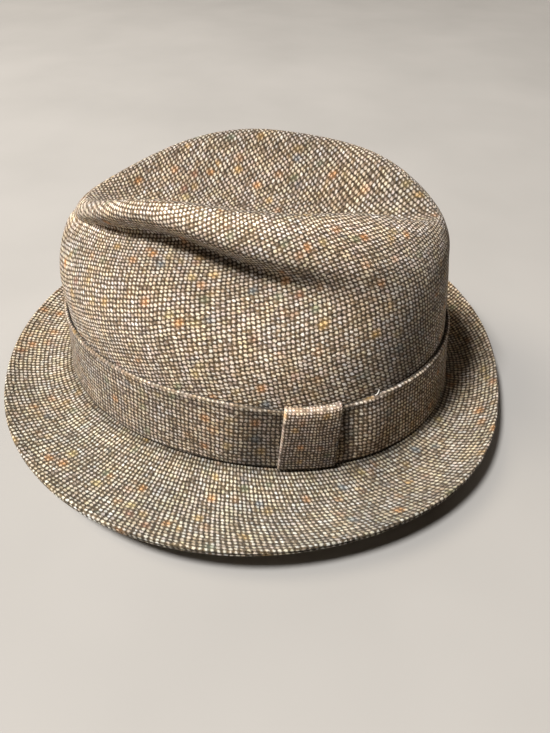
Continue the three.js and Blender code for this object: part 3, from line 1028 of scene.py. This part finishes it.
def fleck_look(n, place, dot, ragged):
    """Strength and colour of the scattered flecks."""
    inputs = {"Vector": place, "Scale": FLECK_SCALE, "Randomness": 1.0}
    spots = n.add("ShaderNodeTexVoronoi", inputs, voronoi_dimensions="2D").outputs
    pick = n.chance(spots["Position"])
    chosen = n.calc("LESS_THAN", pick["Value"], FLECK_SHARE)
    off = n.calc("ADD", spots["Distance"], n.calc("MULTIPLY", ragged, FLECK_RAGGED))
    kind = n.add("ShaderNodeSeparateColor", {"Color": pick["Color"]}).outputs
    strength = n.calc("MULTIPLY", chosen, n.step(off, *FLECK_EDGE))
    strength = n.calc("MULTIPLY", strength, n.step(kind[2], 0.0, 1.0, *FLECK_STRENGTHS))
    tone = n.calc("ADD", n.calc("MULTIPLY", dot, FLECK_DOT_TONE), FLECK_GROUND_TONE)
    return strength, n.times(n.ramp(kind[1], FLECK_SHADES, constant=True), n.grey(tone))


def yarn_streaks(n, place, cell):
    """Slow changes of tone along each thread, both ways, as one number about 0.5."""
    place_parts = n.parts(place)
    cell_parts = n.parts(cell)
    streaks = []
    for along, thread in ((place_parts[0], cell_parts[1]), (place_parts[1], cell_parts[0])):
        spot = n.add("ShaderNodeCombineXYZ", {
            0: n.calc("MULTIPLY", along, STREAK_SCALE_ALONG),
            1: n.calc("MULTIPLY", thread, STREAK_SCALE_ACROSS),
        }).outputs[0]
        streaks.append(n.noise(spot, 1.0, 1.0)["Fac"])
    return n.calc("MULTIPLY", n.calc("ADD", *streaks), 0.5)


def cloth_tone(n, place, cell, spot, painted_light_and_shade):
    """Tone of the cloth: slow changes over the hat, uneven threads, and the painted light and shade held by
    the mesh.
    """
    slow = n.noise(spot, TONE_SCALE, 2.0, "3D")["Fac"]
    slow_tone = n.step(slow, *NOISE_REACH, *CLOTH_TONES)
    streak_tone = n.step(yarn_streaks(n, place, cell), *NOISE_REACH, *STREAK_TONES)
    return n.calc("MULTIPLY", n.calc("MULTIPLY", slow_tone, streak_tone), painted_light_and_shade)


def cloth_hue(n, place, spot, warmth, painted_light_drift):
    """Colour to multiply the cloth by: slow warm and cool places, heather patches, and a drift painted as a
    change in the light's colour.
    """
    slow = n.noise(spot, HUE_SCALE, 3.0, "3D")["Fac"]
    hue = n.calc("ADD", n.calc("MULTIPLY", n.calc("SUBTRACT", slow, 0.5), HUE_CHANGE), warmth)
    hue = n.calc("SUBTRACT", hue, n.calc("MULTIPLY", n.parts(spot)[0], painted_light_drift))
    patches = n.noise(place, HEATHER_SCALE, 3.0)["Fac"]
    return n.times(n.ramp(hue, HUE_SHADES), n.ramp(patches, HEATHER_SHADES))


def tweed(name, tint, dot_size, wobble=SLOW_WOBBLE, warmth=WARMTH, painted_light_drift=0.0):
    """Wool cloth: light dots on dark yarn, with scattered coloured flecks."""
    material = bpy.data.materials.new(name)
    n = Nodes(material)
    fold, turn = n.layer("fold")
    painted_light_and_shade, ease = n.layer("tone")
    place = wobbled_place(n, wobble, ease)
    cell = n.vector("FLOOR", place)
    spot = n.add("ShaderNodeTexCoord").outputs["Object"]
    ragged = n.noise(place, RAGGED_SCALE, 2.0)["Fac"]
    chance = n.chance(cell)
    distance = dot_distance(n, place, cell, chance, turn, dot_size, ragged)
    dot = n.calc("MAXIMUM", n.step(distance, *DOT_EDGE), n.calc("MULTIPLY", fold, FOLD_COVER))
    dot_colour = n.times(n.ramp(chance["Value"], DOT_SHADES), n.grey(n.step(distance, *DOT_HIGHLIGHT)))
    cloth = n.mix(dot, dark_ground(n, place, ragged), dot_colour)
    fleck_strength, fleck_colour = fleck_look(n, place, dot, ragged)
    cloth = n.mix(fleck_strength, cloth, fleck_colour)
    tone = n.grey(cloth_tone(n, place, cell, spot, painted_light_and_shade))
    cloth = n.times(cloth, n.times(tone, (*tint, 1)))
    cloth = n.times(cloth, cloth_hue(n, place, spot, warmth, painted_light_drift))
    fuzz = n.noise(place, FUZZ_SCALE, 3.0)["Fac"]
    height = n.calc("ADD", n.calc("MULTIPLY", dot, DOT_HEIGHT), n.calc("MULTIPLY", fuzz, FUZZ_HEIGHT))
    relief = n.add("ShaderNodeBump", {
        "Height": height,
        "Strength": RELIEF_STRENGTH,
        "Distance": RELIEF_DEPTH,
    })
    shader = n.add("ShaderNodeBsdfPrincipled", {
        "Base Color": cloth,
        "Roughness": 0.95,
        "Normal": relief.outputs[0],
        "Sheen Weight": 0.12,
        "Sheen Roughness": 0.5,
        "Specular IOR Level": 0.2,
    })
    n.add("ShaderNodeOutputMaterial", {"Surface": shader.outputs[0]})
    return material


def thread_paint():
    """Pale wool with a little tone from its twist."""
    material = bpy.data.materials.new("thread")
    n = Nodes(material)
    spot = n.add("ShaderNodeTexCoord").outputs["Object"]
    colour = n.ramp(n.noise(spot, TWIST_SCALE, 2.0, "3D")["Fac"], THREAD_SHADES)
    shader = n.add("ShaderNodeBsdfPrincipled", {"Base Color": colour, "Roughness": 0.8})
    n.add("ShaderNodeOutputMaterial", {"Surface": shader.outputs[0]})
    return material


def make_floor():
    """A plain pale floor under the hat."""
    mesh = bpy.data.meshes.new("floor")
    corners = [(x * FLOOR_REACH, y * FLOOR_REACH, 0) for x, y in ((-1, -1), (1, -1), (1, 1), (-1, 1))]
    mesh.from_pydata(corners, [], [(0, 1, 2, 3)])
    floor = bpy.data.objects.new("floor", mesh)
    bpy.context.scene.collection.objects.link(floor)
    material = bpy.data.materials.new("floor_paint")
    n = Nodes(material)
    speckle = n.add("ShaderNodeTexNoise", {"Scale": FLOOR_SCALE, "Detail": 3.0})
    colour = n.ramp(speckle.outputs["Fac"], FLOOR_SHADES)
    shader = n.add("ShaderNodeBsdfPrincipled", {"Base Color": colour, "Roughness": 0.9})
    n.add("ShaderNodeOutputMaterial", {"Surface": shader.outputs[0]})
    mesh.materials.append(material)


def make_light(name, azimuth, elevation, width, watts, colour):
    """A round lamp aimed at the hat from an azimuth, counted from its front towards its left."""
    data = bpy.data.lights.new(name, "AREA")
    data.shape = "DISK"
    data.size = width
    data.energy = watts
    data.color = colour
    turn = math.radians(azimuth)
    flat = math.cos(math.radians(elevation)) * LIGHT_DISTANCE
    rise = math.sin(math.radians(elevation)) * LIGHT_DISTANCE
    place = Vector((math.sin(turn) * flat, -math.cos(turn) * flat, rise))
    light = bpy.data.objects.new(name, data)
    light.location = place
    light.rotation_euler = (-place).to_track_quat("-Z", "Y").to_euler()
    bpy.context.scene.collection.objects.link(light)


def make_room():
    """Dim warm light from all round."""
    world = bpy.data.worlds.new("soft_room")
    world.use_nodes = True
    background = world.node_tree.nodes["Background"]
    background.inputs["Color"].default_value = ROOM_COLOUR
    background.inputs["Strength"].default_value = ROOM_STRENGTH
    bpy.context.scene.world = world


make_camera()
crown = make_crown()
brim = make_brim()
band = make_band()
loop = make_loop()
thread = make_thread_end()
crown.data.materials.append(tweed("crown_tweed", CROWN_TINT, CROWN_DOTS))
brim.data.materials.append(
    tweed("brim_tweed", BRIM_TINT, BRIM_DOTS, BRIM_SLOW_WOBBLE, BRIM_WARMTH, BRIM_PAINTED_LIGHT_DRIFT)
)
band.data.materials.append(tweed("band_tweed", BAND_TINT, BAND_DOTS))
loop.data.materials.append(tweed("loop_tweed", LOOP_TINT_WITH_SHADE, LOOP_DOTS))
thread.data.materials.append(thread_paint())
make_floor()
for light in LIGHTS:
    make_light(*light)
make_room()
bpy.context.scene.view_settings.view_transform = "Standard"
